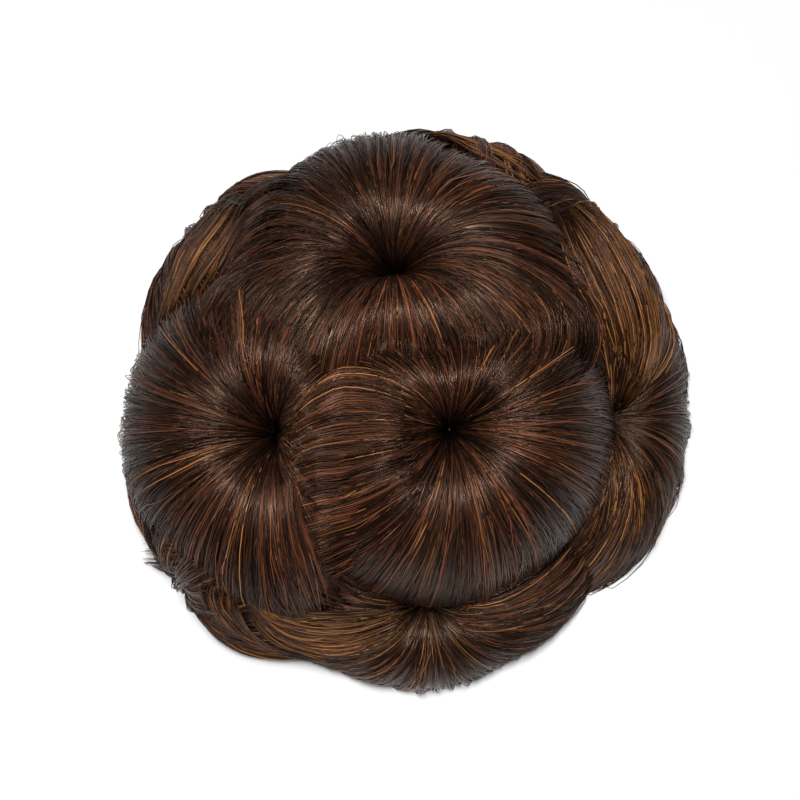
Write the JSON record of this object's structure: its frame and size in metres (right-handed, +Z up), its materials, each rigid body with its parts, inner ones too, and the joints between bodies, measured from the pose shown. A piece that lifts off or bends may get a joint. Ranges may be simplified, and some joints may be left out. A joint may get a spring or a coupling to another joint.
{
  "type": "hair bun on a claw clip",
  "caption": "Round domed chignon hairpiece of deep brown hair, dressed in puffed flowers with pitted middles, on a hollow net cap with a small claw clip inside.",
  "frame": {"origin": "middle of the underside, on the plane that the hem of the cap rests on", "axes": "+Z up out of the dome of hair, +X to the right and +Y away in the view from above"},
  "size_m": [0.1424, 0.1424, 0.062],
  "materials": {
    "hair": "dark espresso brown hair fibre with auburn and golden strands, soft satin sheen",
    "net": "matt dark brown elastic net",
    "claw_plastic": "smooth dark brown plastic"
  },
  "bodies": {
    "root": {"net_cap": "net", "claw": "claw_plastic", "flower_middle": "hair", "flower_top": "hair", "flower_left": "hair", "flower_east": "hair", "flower_south": "hair", "flower_southwest": "hair", "flower_northwest": "hair", "flower_north": "hair", "flower_northeast": "hair"}
  },
  "joints": []
}
